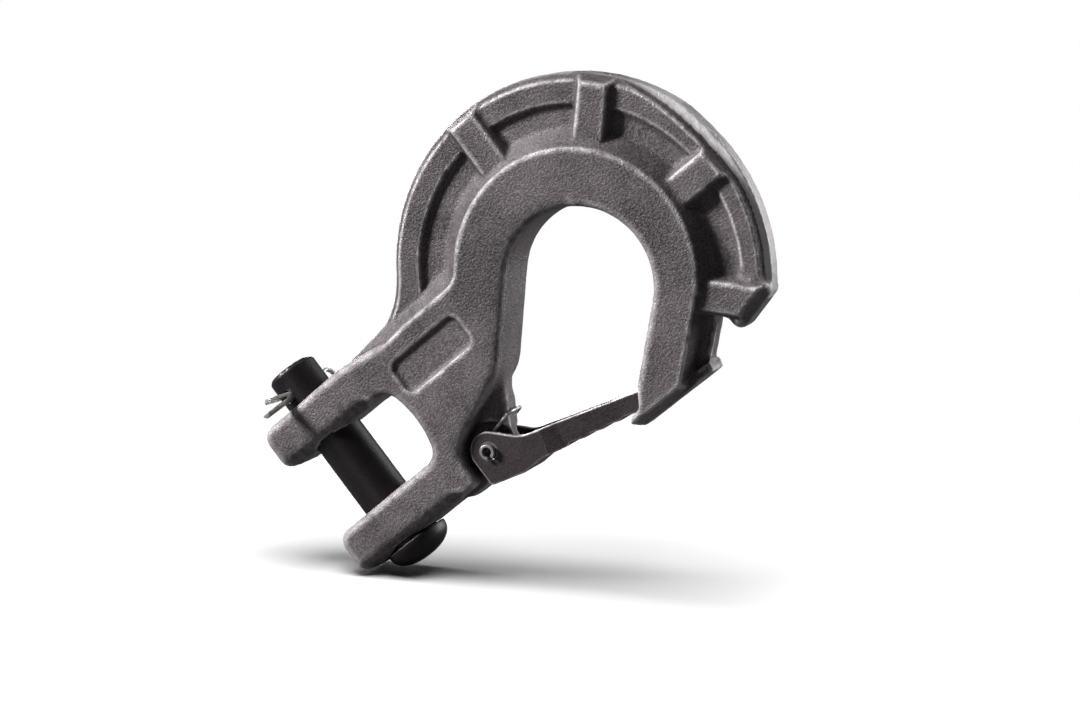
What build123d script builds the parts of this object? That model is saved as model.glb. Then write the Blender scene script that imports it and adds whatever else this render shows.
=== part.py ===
from build123d import *
import os
from math import acos, asin, atan2, cos, degrees, radians, sin, sqrt, tan

# A forged clevis hook with a spring latch, a clevis pin and its cotter.
# The hook lies on its side. X runs along the load line, from the clevis pin to the bowl, Y points to the
# pin's cross-drilled end, and Z is square to the faces. The origin is the middle of the clevis pin's axis.

os.makedirs("parts", exist_ok=True)

# Clevis: two ears with a jaw between them
pin_d = 15.9
pin_play = 0.08
body_t = 21.0
jaw_gap = 24.8
ear_t = 14.6
ear_reach = 17.2
ear_corner = 4.5
jaw_depth = 28.5
jaw_crown = 2.6
jaw_corner = 5.0
edge_round = 2.5
wall_round = 2.0
bore_bevel = 0.8
jaw_clear = 0.5

# Plain sunk panel on the shank
panel_x = 46.0
panel_y = 12.0
panel_l = 27.0
panel_w = 11.0
panel_round = 3.0
panel_depth = 1.2

# Bowl, and the heavy band that carries the load round it
bowl_x = 96.5
bowl_r = 22.6
band_y = 3.0
band_w = 14.5
band_shift = 0.5
wall_run = 5.5
back_turn = 135.0
limb_turn = 50.0
shank_edge = 23.7
shank_start_gap = 0.4
valley_round = 3.5

# Flange round the band: a recessed floor, a raised ring and a bevelled rim
floor_t = 9.2
ring_t = 12.6
ring_w = 6.5
ring_step_run = 1.3
flange_w = 21.5
rim_bevel_run = 2.2
rim_edge_t = 7.3
flare_x = 27.0
ring_end_turn = 12.0
wedge_x = 18.0

# Ribs across the recess on both faces
rib_count = 4
rib_first = 88.9
rib_pitch = 44.7
rib_w = 8.6
rib_top = 8.4
rib_draft = 27.0
rib_round = 1.2
rib_start_gap = 1.6
rib_end_gap = 2.7

# Limb, tip and beak
limb_run = 2.4
strip_w = 3.4
strip_t = 6.4
strip_share = 0.63
tip_y = -43.7
beak_x = 83.2
beak_t = 4.6
beak_top_l = 5.0
beak_nick = 1.6
mouth_l = 24.4
tooth_top = 5.2
tooth_w = 3.4
tooth_round = 1.0
tooth_lean = 0.4

# Lug at the rim's end
lug_turn = 37.5
lug_bevel = 4.3
lug_l = 18.5
lug_drop = 7.4
lug_side = 6.5
lug_in_w = 6.8
lug_round = 3.0

# Latch: a channel that straddles the hook's web
pivot_x = 40.6
pivot_y = -21.0
web_t = 8.0
web_end_r = 7.8
web_end_turn = 4.0
web_foot_x = 26.5
web_foot_drop = 1.8
web_heel_l = 4.4
web_knee_l = 33.3
web_root_l = 27.0
web_round = 1.0
pocket_r = 7.9
pocket_turn = 112.0
latch_gap = 0.3
cheek_t = 1.6
latch_in_w = 11.2
latch_reach = 51.2
latch_slope = 15.4
latch_head_r = 6.0
neck_turn = 61.0
neck_round = 10.0
arm_rise = 0.6
arm_start = 15.0
arm_drop = 7.9
arm_round = 6.0
heel_l = 8.5
heel_drop = 9.9
heel_round = 1.5
joggle_start = 17.5
joggle_end = 23.0
nose_w = 11.2
nose_h = 5.7
nose_l = 9.0
grip_count = 4
grip_start = 23.9
grip_pitch = 6.2
grip_depth = 0.7
grip_turn = 30.0
seat_play = 0.6

# Slotted spring pin on which the latch turns
pivot_pin_d = 4.76
pivot_pin_wall = 0.95
pivot_pin_slot = 1.0
pivot_pin_l = 17.6
pivot_play = 0.05

# Double torsion spring
wire_d = 1.2
coil_play = 0.2
coil_pitch = 1.22
coil_recess = 1.7
coil_recess_play = 0.6
bridge_play = 0.3
bridge_turn = 24.2
bridge_bend = 1.5
leg_play = 0.1

# Clevis pin and cotter
head_r = 10.4
head_t = 6.4
head_round = 2.2
head_gap = 0.3
tail_l = 11.2
tail_bevel = 1.0
cotter_hole_d = 4.0
cotter_d = 3.2
cotter_y = 30.6
cotter_tilt = 75.0
cotter_split = 0.1
cotter_leg_l = 17.0
cotter_leg_extra = 3.8
cotter_spread = 1.3
cotter_slack = 1.5
eye_r = 2.3
eye_wire_d = 1.5

# Small amounts: how near an edge lies to be picked, and how far a cut or a joined piece runs on
pick = 0.1
run_on = 1.0

half_t = body_t / 2
pin_r = pin_d / 2
ear_y = jaw_gap / 2 + ear_t
band_r = bowl_r + band_w
band_foot_r = band_r + wall_run
rim_r = band_r + flange_w
wall_drop = half_t - floor_t / 2
limb_drop = half_t - strip_t / 2
ring_in_r = rim_r - rim_bevel_run - ring_w - ring_step_run
rib_start_r = band_r + rib_start_gap
rib_end_r = rim_r - rib_end_gap
rib_mid_r = (rib_start_r + rib_end_r) / 2
pivot = Vector(pivot_x, pivot_y)
bowl = Vector(bowl_x, 0)
hub = Vector(bowl_x, band_y)
band_hub = hub + Vector(band_shift * cos(radians(lug_turn)), -band_shift * sin(radians(lug_turn)))


def polar(centre, radius, angle):
    """The point at a radius and an angle in degrees about a centre."""
    return centre + Vector(radius * cos(radians(angle)), radius * sin(radians(angle)))


def on_line(start, angle, length):
    """The point at a length along a line that leaves start at an angle in degrees."""
    return start + Vector(length * cos(radians(angle)), length * sin(radians(angle)))


def top_edges(part):
    """The edges round the face that lies highest."""
    return part.faces().sort_by(Axis.Z)[-1].edges()


# Hook body: its upper half is made from the parting plane up, and mirrored once it is whole
yoke_end_x = 44.0
jaw_end_x = jaw_depth - jaw_crown
with BuildPart() as yoke:
    with BuildSketch() as ears:
        with BuildLine():
            Polyline(
                (jaw_end_x, jaw_gap / 2),
                (-ear_reach, jaw_gap / 2),
                (-ear_reach, ear_y),
                (wedge_x, ear_y),
                (yoke_end_x, shank_edge - shank_start_gap),
                (yoke_end_x, -ear_y),
                (-ear_reach, -ear_y),
                (-ear_reach, -jaw_gap / 2),
                (jaw_end_x, -jaw_gap / 2),
            )
            ThreePointArc((jaw_end_x, -jaw_gap / 2), (jaw_depth, 0), (jaw_end_x, jaw_gap / 2))
        make_face()
        fillet(ears.vertices().group_by(Axis.X)[0], ear_corner)
        fillet(ears.vertices().filter_by_position(Axis.X, jaw_end_x - pick, jaw_end_x + pick), jaw_corner)
    extrude(amount=half_t)
    fillet(top_edges(yoke).filter_by_position(Axis.X, -ear_reach - pick, yoke_end_x - pick), edge_round)

# Shank and band, with the sloped wall that runs down to the flange
shank_foot = shank_edge + wall_run
valley_x = band_hub.X - sqrt(band_foot_r**2 - (shank_foot - band_hub.Y) ** 2)
valley_turn = degrees(atan2(shank_foot - band_hub.Y, valley_x - band_hub.X))
jaw_clear_x = jaw_depth + edge_round + jaw_clear
last_rib = rib_first - (rib_count - 1) * rib_pitch
with BuildPart() as spine:
    with BuildSketch() as band:
        with BuildLine():
            Polyline(
                polar(band_hub, band_foot_r, last_rib),
                polar(band_hub, bowl_r, last_rib),
                (yoke_end_x - run_on, -ear_y / 2),
                (jaw_clear_x, -ear_y / 2),
                (jaw_clear_x, jaw_gap / 2),
                (wedge_x, jaw_gap / 2 + ear_t / 2),
                (wedge_x, ear_y - pick),
                (yoke_end_x, shank_foot),
                (valley_x, shank_foot),
            )
            CenterArc(band_hub, band_foot_r, valley_turn, last_rib - valley_turn)
        make_face()
        fillet(band.vertices().sort_by_distance((valley_x, shank_foot))[0], valley_round)
    extrude(amount=half_t)
    outer = top_edges(spine).filter_by(
        lambda edge: edge.center().Y > shank_edge or edge.geom_type == GeomType.CIRCLE
    )
    chamfer(outer, wall_run, wall_drop, reference=spine.faces().sort_by(Axis.Z)[-1])

# Limb, down to the tip
limb_foot_r = band_r + limb_run
limb_start = polar(band_hub, limb_foot_r, -limb_turn)
limb_l = (limb_start.Y - tip_y) / cos(radians(limb_turn))
limb_end = on_line(limb_start, -limb_turn - 90, limb_l)
limb_open_x = beak_x - beak_t
with BuildPart() as limb:
    with BuildSketch() as lower:
        with BuildLine():
            Polyline(
                limb_start,
                limb_end,
                (limb_open_x, tip_y),
                (limb_open_x, tip_y + beak_t),
                polar(bowl, bowl_r - beak_t, -limb_turn),
                polar(band_hub, bowl_r, last_rib + limb_turn / 3),
                polar(band_hub, limb_foot_r, last_rib + limb_turn / 3),
            )
            CenterArc(band_hub, limb_foot_r, last_rib + limb_turn / 3, -limb_turn - last_rib - limb_turn / 3)
        make_face()
        fillet(lower.vertices().sort_by_distance(limb_end)[0], limb_run)
    extrude(amount=half_t)
    outer = top_edges(limb).filter_by(
        lambda edge: (edge.center() - pivot).length > (limb_start - pivot).length - limb_drop
        or edge.center().Y < tip_y + pick
    )
    chamfer(outer, limb_run, limb_drop, reference=limb.faces().sort_by(Axis.Z)[-1])

# Raised edge of the flange where it runs out along the shank
flare_in = ear_y - band_y
flare_r = ((bowl_x - flare_x) ** 2 + flare_in**2 - rim_r**2) / (2 * (rim_r - flare_in))
flare_hub = Vector(flare_x, ear_y + flare_r)
flare_turn = degrees(atan2(flare_hub.Y - band_y, flare_x - bowl_x))
ring_mid_r = (ring_in_r + rim_r) / 2
with BuildPart() as flare:
    with BuildSketch():
        with BuildLine():
            CenterArc(flare_hub, flare_r, -90, flare_turn - 90)
            Polyline(
                polar(hub, rim_r, flare_turn),
                polar(hub, ring_mid_r, flare_turn),
                (bowl_x - sqrt(ring_mid_r**2 - (shank_edge - band_y) ** 2), shank_edge),
                (flare_x, shank_edge),
                (flare_x, ear_y),
            )
        make_face()
    extrude(amount=ring_t / 2)
    outer = top_edges(flare).filter_by(GeomType.CIRCLE)
    chamfer(outer, rim_bevel_run, (ring_t - rim_edge_t) / 2, reference=flare.faces().sort_by(Axis.Z)[-1])

# Lug at the rim's lower end
lug_start = polar(hub, rim_r, -lug_turn)
lug_bend = on_line(lug_start, -lug_turn - 90, lug_bevel)
lug_toe = lug_start - Vector(lug_l, lug_drop)
with BuildPart() as lug:
    with BuildSketch() as foot:
        with BuildLine():
            Polyline(
                lug_start,
                lug_bend,
                lug_toe,
                lug_toe + Vector(0, lug_side),
                polar(hub, ring_in_r - lug_in_w, last_rib),
                polar(hub, ring_in_r, last_rib + lug_in_w / 2),
                polar(hub, ring_mid_r, -lug_turn),
                close=True,
            )
        make_face()
        fillet(foot.vertices().sort_by_distance(lug_toe)[0], lug_round)
    extrude(amount=ring_t / 2)
    outer = top_edges(lug).filter_by(
        lambda edge: edge.center().Y < lug_start.Y - run_on and edge.center().X > lug_toe.X + pick
    )
    chamfer(outer, rim_bevel_run, (ring_t - rim_edge_t) / 2, reference=lug.faces().sort_by(Axis.Z)[-1])

# Ring: recessed floor, raised ring and bevelled rim, turned about the band's centre
ring_plane = Plane(
    origin=hub,
    x_dir=(cos(radians(-lug_turn)), sin(radians(-lug_turn)), 0),
    z_dir=(sin(radians(-lug_turn)), -cos(radians(-lug_turn)), 0),
)
with BuildPart() as ring:
    with BuildSketch(ring_plane):
        Polygon(
            (band_r - wall_run, 0),
            (rim_r, 0),
            (rim_r, rim_edge_t / 2),
            (rim_r - rim_bevel_run, ring_t / 2),
            (ring_in_r + ring_step_run, ring_t / 2),
            (ring_in_r, floor_t / 2),
            (band_r - wall_run, floor_t / 2),
            align=None,
        )
    revolve(axis=Axis(hub, (0, 0, 1)), revolution_arc=flare_turn + ring_end_turn + lug_turn)

# Ribs across the recess; the last one ends at the lug's bevel
rib_spread = (rib_top - floor_t / 2) * tan(radians(rib_draft))
lug_edge = (lug_bend - lug_toe).normalized()
rib_end = Plane(
    origin=lug_bend + Vector(-lug_edge.Y, lug_edge.X) * rim_bevel_run + Vector(0, 0, ring_t / 2),
    z_dir=(lug_edge.Y, -lug_edge.X, tan(radians(rib_draft))),
)
with BuildPart() as ribs:
    with BuildSketch(Plane(origin=hub + Vector(0, 0, floor_t / 2))):
        with PolarLocations(rib_mid_r, rib_count, last_rib, rib_first - last_rib, endpoint=True):
            Rectangle(rib_end_r - rib_start_r + 2 * rib_spread, rib_w + 2 * rib_spread)
    extrude(amount=rib_top - floor_t / 2, taper=rib_draft)
    fillet(ribs.edges().group_by(Axis.Z)[-1], rib_round)
    split(bisect_by=rib_end, keep=Keep.BOTTOM)

# Strip of flange between the lug and the tip, with the tooth at its end
strip_start = polar(band_hub, limb_foot_r + strip_w, -limb_turn)
strip_end = on_line(strip_start, -limb_turn - 90, limb_l * strip_share)
tooth_in = on_line(strip_end, 180, tooth_w)
tooth_foot = Vector(strip_end.X - tooth_lean, tip_y)
strip_in_x = limb_end.X - limb_run
with BuildPart() as strip:
    with BuildSketch() as apron:
        Polygon(
            strip_start,
            strip_end,
            tooth_foot,
            (strip_in_x, tip_y),
            (strip_in_x, limb_start.Y),
            polar(hub, band_r - wall_run, -lug_turn),
            polar(hub, ring_in_r - lug_in_w, -lug_turn - lug_round),
            (lug_toe.X + run_on, strip_start.Y),
            align=None,
        )
        fillet(apron.vertices().sort_by_distance(tooth_foot)[0], tooth_round)
    extrude(amount=strip_t / 2)
    with BuildSketch() as tooth:
        Polygon(
            strip_end,
            tooth_foot,
            (strip_in_x, tip_y),
            (strip_in_x, tip_y + limb_run),
            tooth_in,
            align=None,
        )
        fillet(tooth.vertices().sort_by_distance(tooth_foot)[0], tooth_round)
    extrude(amount=tooth_top)

# Everything that one profile cuts away: the bowl, the mouth and the pocket beside the latch
pocket_slope = pocket_turn - 90
pocket_end = polar(pivot, pocket_r, pocket_turn)
back_start = polar(bowl, bowl_r, back_turn)
back_slope = back_turn - 90
reach = back_start - pocket_end
pocket_l = (reach.X * sin(radians(back_slope)) - reach.Y * cos(radians(back_slope))) / sin(
    radians(back_slope - pocket_slope)
)
back_end = on_line(pocket_end, pocket_slope, pocket_l)
mouth_start = polar(bowl, bowl_r, -limb_turn)
mouth_end = on_line(mouth_start, -limb_turn - 90, mouth_l)
cut_y = tip_y - pocket_r
with BuildPart() as opening:
    with BuildSketch() as inside:
        with BuildLine():
            Polyline((pivot_x, cut_y), (pivot_x - pocket_r, cut_y), (pivot_x - pocket_r, pivot_y))
            CenterArc(pivot, pocket_r, 180, pocket_turn - 180)
            Polyline(pocket_end, back_end, back_start)
            CenterArc(bowl, bowl_r, back_turn, -limb_turn - back_turn)
            Polyline(
                mouth_start,
                mouth_end,
                (beak_x + beak_top_l, tip_y + beak_t),
                (beak_x + beak_nick, tip_y + beak_t - seat_play / 2),
                (beak_x, tip_y + beak_t / 2),
                (beak_x + run_on, tip_y - run_on),
                (beak_x + run_on, cut_y),
                (pivot_x, cut_y),
            )
        make_face()
        fillet(inside.vertices().sort_by_distance(back_end)[0], pocket_r)
    extrude(amount=half_t + run_on)

with BuildPart() as hook_body:
    for piece in (yoke, spine, limb, flare, lug, ring, strip, ribs):
        add(piece.part)
    add(opening.part, mode=Mode.SUBTRACT)
    back_edges = [
        hook_body.faces().sort_by(Axis.Z)[-1].edges().sort_by_distance((spot.X, spot.Y, half_t))[0]
        for spot in (
            Vector(pivot_x - pocket_r, pivot_y),
            polar(pivot, pocket_r, (pocket_turn + 180) / 2),
            on_line(pocket_end, pocket_slope, pocket_l / 2),
            (back_start + back_end) * 0.5,
            polar(bowl, bowl_r, back_turn / 3),
            (mouth_start + mouth_end) * 0.5,
        )
    ]
    fillet(back_edges, wall_round)

# Web that the latch straddles, thinned at its end for the spring's coils
web_end = polar(pivot, web_end_r, web_end_turn)
web_knee = on_line(back_start, back_slope + 180, web_knee_l)
web_root = on_line(back_start, back_slope + 180, web_root_l)
web_heel = on_line(polar(pivot, web_end_r, -latch_slope - 90), 180 - latch_slope, web_heel_l)
with BuildPart() as web:
    with BuildSketch():
        with BuildLine():
            Polyline(
                web_end,
                web_knee,
                web_root,
                on_line(web_root, back_slope + 90, web_t / 2),
                (pivot_x - pocket_r, pivot_y + pocket_r),
                (web_foot_x - pocket_r, jaw_gap / 4 - ear_y),
                (web_foot_x - pocket_r / 2, -ear_y),
                (web_foot_x, -ear_y - web_foot_drop),
                (web_heel.X, -ear_y - web_foot_drop),
                web_heel,
                polar(pivot, web_end_r, -latch_slope - 90),
            )
            CenterArc(pivot, web_end_r, -latch_slope - 90, latch_slope + 90 + web_end_turn)
        make_face()
    extrude(amount=web_t / 2)
    fillet(top_edges(web), web_round)
    with BuildSketch(Plane(origin=pivot + Vector(0, 0, web_t / 2 - coil_recess))):
        Circle(web_end_r + coil_recess_play)
    extrude(amount=web_t / 2, mode=Mode.SUBTRACT)

# Seat in the beak for the latch's nose
nose_end = sqrt(latch_reach**2 - nose_h**2)
arm_slope = degrees(atan2(arm_drop - nose_h, nose_end - arm_start))
seat_r = latch_reach + seat_play
seat_turn = latch_slope + degrees(asin((nose_h + latch_gap) / seat_r))
with BuildPart() as seat:
    with BuildSketch():
        with BuildLine():
            CenterArc(pivot, seat_r, -latch_slope, latch_slope - seat_turn)
            Polyline(
                polar(pivot, seat_r, -seat_turn),
                on_line(polar(pivot, seat_r, -seat_turn), 180 + arm_slope - latch_slope, nose_l),
                on_line(polar(pivot, seat_r, -latch_slope), 180 - latch_slope, nose_l),
                polar(pivot, seat_r, -latch_slope),
            )
        make_face()
    extrude(amount=nose_w / 2 + seat_play)

with hook_body:
    add(web.part)
    add(seat.part, mode=Mode.SUBTRACT)
    mirror(about=Plane.XY)
    with BuildSketch(Plane(origin=pivot)):
        Circle(pivot_pin_d / 2)
    extrude(amount=web_t, both=True, mode=Mode.SUBTRACT)
    with BuildSketch(Plane.XZ):
        Circle(pin_r + pin_play)
    extrude(amount=ear_y + run_on, both=True, mode=Mode.SUBTRACT)
    bore_edges = hook_body.edges().filter_by(
        lambda edge: edge.geom_type == GeomType.CIRCLE and abs(edge.radius - pin_r - pin_play) < pin_play / 2
    )
    chamfer(bore_edges, bore_bevel)
    with BuildSketch(Plane.XY.offset(half_t)):
        with Locations((panel_x, panel_y)):
            RectangleRounded(panel_l, panel_w, panel_round)
    extrude(amount=-panel_depth, mode=Mode.SUBTRACT)
hook_body.part.label = "hook_body"
export_step(hook_body.part, "parts/hook_body.step")

# Latch: a side outline and a top outline cut from one block, on a plane that lies along its arm
latch_plane = Plane(origin=pivot, x_dir=(cos(radians(latch_slope)), -sin(radians(latch_slope)), 0))
arm_view = Plane(
    origin=pivot,
    x_dir=latch_plane.x_dir,
    z_dir=latch_plane.y_dir,
)
cheek_w = latch_in_w + 2 * cheek_t
middle = Vector(0, 0)
side_turn = 180 + latch_slope
heel = Vector((latch_head_r + heel_drop * sin(radians(side_turn))) / cos(radians(side_turn)), -heel_drop)
neck_end = Vector((latch_head_r - arm_rise * sin(radians(neck_turn))) / cos(radians(neck_turn)), arm_rise)
arm_foot = Vector(arm_start, -arm_drop)

with BuildPart() as channel:
    with BuildSketch(latch_plane):
        Polygon(
            (heel.X - heel_drop, cheek_t - heel_drop),
            (heel_l, cheek_t - heel_drop),
            (arm_start, cheek_t - arm_drop),
            (nose_end, cheek_t - nose_h),
            (nose_end, latch_reach),
            (heel.X - heel_drop, latch_reach),
            align=None,
        )
    extrude(amount=cheek_w, both=True)
    with BuildSketch(arm_view):
        Polygon(
            (-latch_reach, latch_in_w / 2),
            (joggle_start, latch_in_w / 2),
            (joggle_end, nose_w / 2 - cheek_t),
            (nose_end - nose_l, nose_w / 2 - cheek_t),
            (nose_end - nose_l, cheek_t - nose_w / 2),
            (joggle_end, cheek_t - nose_w / 2),
            (joggle_start, -latch_in_w / 2),
            (-latch_reach, -latch_in_w / 2),
            align=None,
        )
    extrude(amount=2 * latch_reach, both=True, mode=Mode.INTERSECT)

with BuildPart() as latch:
    with BuildSketch(latch_plane) as latch_side:
        with BuildLine():
            CenterArc(middle, latch_head_r, neck_turn, side_turn - neck_turn)
            Polyline(
                polar(middle, latch_head_r, side_turn),
                heel,
                (heel_l, -heel_drop),
                arm_foot,
                (nose_end, -nose_h),
                (nose_end, 0),
                neck_end,
                polar(middle, latch_head_r, neck_turn),
            )
        make_face()
        fillet(latch_side.vertices().sort_by_distance(heel)[0], heel_round)
        fillet(latch_side.vertices().sort_by_distance(neck_end)[0], neck_round)
        fillet(latch_side.vertices().sort_by_distance((heel_l, -heel_drop))[0], arm_round)
        fillet(latch_side.vertices().sort_by_distance(arm_foot)[0], arm_round)
        for grip in range(grip_count):
            tip = on_line(arm_foot, arm_slope, grip_start - arm_start + grip * grip_pitch)
            with BuildLine():
                Polyline(
                    tip,
                    on_line(tip, arm_slope + grip_turn, grip_depth / sin(radians(grip_turn))),
                    on_line(tip, arm_slope, grip_pitch),
                    close=True,
                )
            make_face(mode=Mode.SUBTRACT)
    extrude(amount=cheek_w, both=True)
    with BuildSketch(arm_view):
        Polygon(
            (-latch_reach, cheek_w / 2),
            (joggle_start, cheek_w / 2),
            (joggle_end, nose_w / 2),
            (nose_end, nose_w / 2),
            (nose_end, -nose_w / 2),
            (joggle_end, -nose_w / 2),
            (joggle_start, -cheek_w / 2),
            (-latch_reach, -cheek_w / 2),
            align=None,
        )
    extrude(amount=2 * latch_reach, both=True, mode=Mode.INTERSECT)
    add(channel.part, mode=Mode.SUBTRACT)
    with BuildSketch(latch_plane):
        Circle(pivot_pin_d / 2 + pivot_play)
    extrude(amount=cheek_w, both=True, mode=Mode.SUBTRACT)
latch.part.label = "latch"
export_step(latch.part, "parts/latch.step")

# Slotted spring pin, pressed into the web
with BuildPart() as latch_pivot_pin:
    with BuildSketch(latch_plane):
        Circle(pivot_pin_d / 2)
        Circle(pivot_pin_d / 2 - pivot_pin_wall, mode=Mode.SUBTRACT)
        with Locations((0, -pivot_pin_d / 2)):
            Rectangle(pivot_pin_slot, pivot_pin_d, mode=Mode.SUBTRACT)
    extrude(amount=pivot_pin_l / 2, both=True)
latch_pivot_pin.part.label = "latch_pivot_pin"
export_step(latch_pivot_pin.part, "parts/latch_pivot_pin.step")

# Double torsion spring: a coil round the pin on each side of the web, one bridge over the web's edge
coil_r = pivot_pin_d / 2 + coil_play + wire_d / 2
web_edge = (web_knee - web_end).normalized()
edge_out = Vector(web_edge.Y, -web_edge.X)
bridge_way = Vector(cos(radians(bridge_turn)), sin(radians(bridge_turn)))
bridge_reach = (web_end - pivot).dot(edge_out) + wire_d / 2 + bridge_play
bridge_r = bridge_reach / bridge_way.dot(edge_out)
leg_z = web_t / 2 + leg_play + wire_d / 2
leg_end = latch_plane.from_local_coords(arm_foot + Vector(0, cheek_t + wire_d / 2 + leg_play))
leg_span = leg_end - pivot
coil_start = degrees(atan2(leg_span.Y, leg_span.X)) - degrees(acos(coil_r / leg_span.length))
coil_end = bridge_turn + degrees(acos(coil_r / bridge_r))
coil_turns = (coil_start - coil_end + 720) / 360
coil_z = leg_z - coil_turns * coil_pitch
bridge_top = polar(pivot, bridge_r, bridge_turn) + Vector(0, 0, leg_z)
bridge_foot = polar(pivot, bridge_r, bridge_turn) - Vector(0, 0, leg_z)
coil_top = polar(pivot, coil_r, coil_end) + Vector(0, 0, leg_z)
coil_foot = polar(pivot, coil_r, coil_end) - Vector(0, 0, leg_z)
coil_plane = Plane(
    origin=pivot + Vector(0, 0, coil_z),
    x_dir=(cos(radians(coil_start)), sin(radians(coil_start)), 0),
    z_dir=(0, 0, 1),
)
with BuildPart() as coil:
    with BuildLine(coil_plane) as turns:
        Helix(coil_pitch, coil_turns * coil_pitch, coil_r, lefthand=True)
    with BuildSketch(Plane(origin=turns.line @ 0, z_dir=turns.line % 0)):
        Circle(wire_d / 2)
    sweep(is_frenet=True)
    with BuildLine() as leg:
        Line(polar(pivot, coil_r, coil_start) + Vector(0, 0, coil_z), leg_end + Vector(0, 0, coil_z))
    with BuildSketch(Plane(origin=leg.line @ 0, z_dir=leg.line % 0)):
        Circle(wire_d / 2)
    sweep()
    mirror(about=Plane.XY)

with BuildPart() as latch_spring:
    with BuildLine() as bridge:
        FilletPolyline(coil_top, bridge_top, bridge_foot, coil_foot, radius=bridge_bend)
    with BuildSketch(Plane(origin=bridge.line @ 0, z_dir=bridge.line % 0)):
        Circle(wire_d / 2)
    sweep()
    add(coil.part)
latch_spring.part.label = "latch_spring"
export_step(latch_spring.part, "parts/latch_spring.step")

# Clevis pin, turned, with a rounded head and a cross hole for the cotter
head_y = -ear_y - head_gap
tail_y = ear_y + tail_l
cotter_plane = Plane(
    origin=(0, cotter_y, 0),
    x_dir=(0, 1, 0),
    z_dir=(-cos(radians(cotter_tilt)), 0, sin(radians(cotter_tilt))),
)
with BuildPart() as clevis_pin:
    with BuildSketch() as pin_side:
        with BuildLine():
            Polyline(
                (0, head_y - head_t),
                (0, tail_y),
                (pin_r - tail_bevel, tail_y),
                (pin_r, tail_y - tail_bevel),
                (pin_r, head_y),
                (head_r, head_y),
                (head_r, head_y - head_t),
                close=True,
            )
        make_face()
        fillet(pin_side.vertices().sort_by_distance((head_r, head_y - head_t))[0], head_round)
    revolve(axis=Axis.Y)
    with BuildSketch(cotter_plane):
        Circle(cotter_hole_d / 2)
    extrude(amount=pin_d, both=True, mode=Mode.SUBTRACT)
clevis_pin.part.label = "clevis_pin"
export_step(clevis_pin.part, "parts/clevis_pin.step")

# Cotter: one half-round wire, folded into an eye and two legs that are spread past the hole
eye_at = -pin_r - cotter_slack - eye_r - eye_wire_d / 2
legs_at = eye_at + eye_r
bend_at = pin_r + cotter_d / 4
with BuildPart() as cotter_pin:
    with Locations(cotter_plane * Location((0, 0, eye_at), (90, 0, 0))):
        Torus(eye_r, eye_wire_d / 2)
    for side, leg_l in ((1, cotter_leg_l), (-1, cotter_leg_l + cotter_leg_extra)):
        with BuildLine(cotter_plane) as prong:
            Polyline((0, 0, legs_at), (0, 0, bend_at), (side * cotter_spread, 0, leg_l))
        with BuildSketch(cotter_plane.offset(legs_at)):
            Circle(cotter_d / 2)
            with Locations((side * (cotter_split / 2 - cotter_d), 0)):
                Rectangle(2 * cotter_d, 2 * cotter_d, mode=Mode.SUBTRACT)
        sweep(path=prong.line, transition=Transition.RIGHT)
cotter_pin.part.label = "cotter_pin"
export_step(cotter_pin.part, "parts/cotter_pin.step")
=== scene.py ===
# %% [markdown]
# # Dressing a forged clevis hook
# A clevis hook joins a chain to a load. Its body is forged in one piece: a clevis with two ears, a shank, and
# a heavy band that bends round the bowl, with a ribbed flange outside it. A sprung latch closes the mouth.
# The CAD model gives every size and every moving part. This script adds what a drawing can't say: the soft
# edges that a forging die leaves, the grain of the coating, the bright wire and the light.

# %% Load the CAD frame
import math
import bmesh
import bpy
from mathutils import Matrix, Vector, noise


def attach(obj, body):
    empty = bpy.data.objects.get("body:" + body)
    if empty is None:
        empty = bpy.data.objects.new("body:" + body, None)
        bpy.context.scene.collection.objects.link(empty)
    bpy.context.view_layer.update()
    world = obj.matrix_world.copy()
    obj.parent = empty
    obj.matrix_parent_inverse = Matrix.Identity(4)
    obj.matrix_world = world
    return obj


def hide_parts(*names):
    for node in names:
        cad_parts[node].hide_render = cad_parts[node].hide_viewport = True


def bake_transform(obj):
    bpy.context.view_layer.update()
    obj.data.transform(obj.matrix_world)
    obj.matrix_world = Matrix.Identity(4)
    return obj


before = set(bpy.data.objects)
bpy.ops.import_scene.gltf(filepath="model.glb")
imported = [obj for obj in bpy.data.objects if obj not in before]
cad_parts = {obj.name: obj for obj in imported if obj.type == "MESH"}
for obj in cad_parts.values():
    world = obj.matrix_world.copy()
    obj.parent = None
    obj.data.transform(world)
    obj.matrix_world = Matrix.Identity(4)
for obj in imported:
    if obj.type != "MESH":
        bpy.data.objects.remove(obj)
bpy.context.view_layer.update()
print("nodes:", sorted(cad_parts))

# %% [markdown]
# ## The camera
# The photograph looks down on the hook's face from its upper right, and the hook leans to the right in the
# picture. A camera could be aimed by hand, but here its three axes come from lining up known points of the
# hook with the picture, so they are written as the rows of a turn. An 80 mm lens is a usual one for tools.

# %% Place the camera
view_right = Vector((0.71346662, -0.60132219, -0.35969016))
view_up = Vector((0.58488361, 0.79376968, -0.1668558))
view_back = Vector((0.38584523, -0.09133084, 0.91803166))
view_place = Vector((0.343404, -0.073894, 0.653638))

lens = bpy.data.cameras.new("bench_camera")
lens.lens = 80
lens.sensor_width = 36
lens.sensor_fit = "HORIZONTAL"
lens.clip_start = 0.01
lens.clip_end = 50
camera = bpy.data.objects.new("bench_camera", lens)
bpy.context.scene.collection.objects.link(camera)
turn = Matrix((view_right, view_up, view_back)).transposed()
camera.matrix_world = Matrix.Translation(view_place) @ turn.to_4x4()
bpy.context.scene.camera = camera
print("camera distance, mm:", round(1000 * view_place.length))

# %% [markdown]
# ## The floor
# The hook stands on the edge of its lower ear, with its flat face upright. The floor is a plain plane under
# that ear, square to the hook's face. Near the hook it is real paper that takes the shadow. Further out it
# turns into the even white of a catalogue page, for the camera and for reflections, so that no horizon
# shows. From underneath it lets the view through, so that it never hides the hook.

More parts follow.
